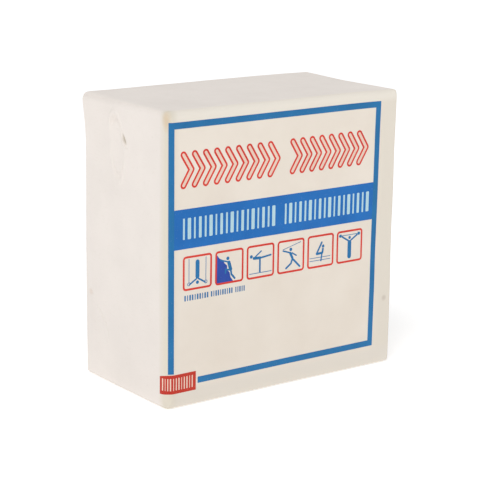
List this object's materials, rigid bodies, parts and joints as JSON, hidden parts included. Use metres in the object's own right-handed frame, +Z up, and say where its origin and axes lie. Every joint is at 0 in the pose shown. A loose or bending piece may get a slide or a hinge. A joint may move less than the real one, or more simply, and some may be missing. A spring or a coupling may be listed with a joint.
{
  "type": "gymnastics chalk block",
  "caption": "Pressed magnesium-carbonate chalk block standing in a folded printed paper wrapper whose side panels and back flaps open.",
  "frame": {"origin": "centre of the footprint at floor level", "axes": "+Z up, the printed front faces -Y, +X to the viewer's right of the front"},
  "size_m": [0.0586, 0.0308, 0.0602],
  "materials": {
    "chalk": "matte",
    "printed_paper": "matte",
    "wrapper_paper": "matte",
    "adhesive": "satin"
  },
  "bodies": {
    "front_and_block": {"chalk_block": "chalk", "front_panel": "printed_paper"},
    "top_panel": {"top_panel": "wrapper_paper"},
    "bottom_panel": {"bottom_panel": "wrapper_paper"},
    "left_panel": {"left_panel": "wrapper_paper", "left_top_tab": "wrapper_paper", "left_bottom_tab": "wrapper_paper"},
    "right_panel": {"right_panel": "wrapper_paper", "right_top_tab": "wrapper_paper", "right_bottom_tab": "wrapper_paper"},
    "closing_flap": {"closing_flap": "wrapper_paper", "glue_strip": "adhesive"},
    "bottom_flap": {"bottom_flap": "wrapper_paper"},
    "left_flap": {"left_flap": "wrapper_paper"},
    "right_flap": {"right_flap": "wrapper_paper"}
  },
  "joints": [
    {"name": "top_panel_fold", "type": "hinge", "parent": "front_and_block", "child": "top_panel", "pos_m": [0, -0.01502, 0.05982], "axis": [1, 0, 0], "range_deg": [0, 90]},
    {"name": "bottom_panel_fold", "type": "hinge", "parent": "front_and_block", "child": "bottom_panel", "pos_m": [0, -0.01502, 0.00038], "axis": [-1, 0, 0], "range_deg": [0, 90]},
    {"name": "left_panel_fold", "type": "hinge", "parent": "front_and_block", "child": "left_panel", "pos_m": [-0.02897, -0.01502, 0.0301], "axis": [0, 0, 1], "range_deg": [0, 90]},
    {"name": "right_panel_fold", "type": "hinge", "parent": "front_and_block", "child": "right_panel", "pos_m": [0.02897, -0.01502, 0.0301], "axis": [0, 0, -1], "range_deg": [0, 90]},
    {"name": "closing_flap_fold", "type": "hinge", "parent": "top_panel", "child": "closing_flap", "pos_m": [0, 0.01502, 0.05982], "axis": [1, 0, 0], "range_deg": [0, 90]},
    {"name": "bottom_flap_fold", "type": "hinge", "parent": "bottom_panel", "child": "bottom_flap", "pos_m": [0, 0.01451, 0.00029], "axis": [-1, 0, 0], "range_deg": [0, 90]},
    {"name": "left_flap_fold", "type": "hinge", "parent": "left_panel", "child": "left_flap", "pos_m": [-0.02901, 0.01476, 0.0301], "axis": [0, 0, 1], "range_deg": [0, 90]},
    {"name": "right_flap_fold", "type": "hinge", "parent": "right_panel", "child": "right_flap", "pos_m": [0.02901, 0.01476, 0.0301], "axis": [0, 0, -1], "range_deg": [0, 90]}
  ],
  "couplings": [
    {"joint": "bottom_panel_fold", "follows": "top_panel_fold", "ratio": 1},
    {"joint": "left_panel_fold", "follows": "top_panel_fold", "ratio": 1},
    {"joint": "right_panel_fold", "follows": "top_panel_fold", "ratio": 1},
    {"joint": "bottom_flap_fold", "follows": "closing_flap_fold", "ratio": 1},
    {"joint": "left_flap_fold", "follows": "closing_flap_fold", "ratio": 1},
    {"joint": "right_flap_fold", "follows": "closing_flap_fold", "ratio": 1}
  ]
}
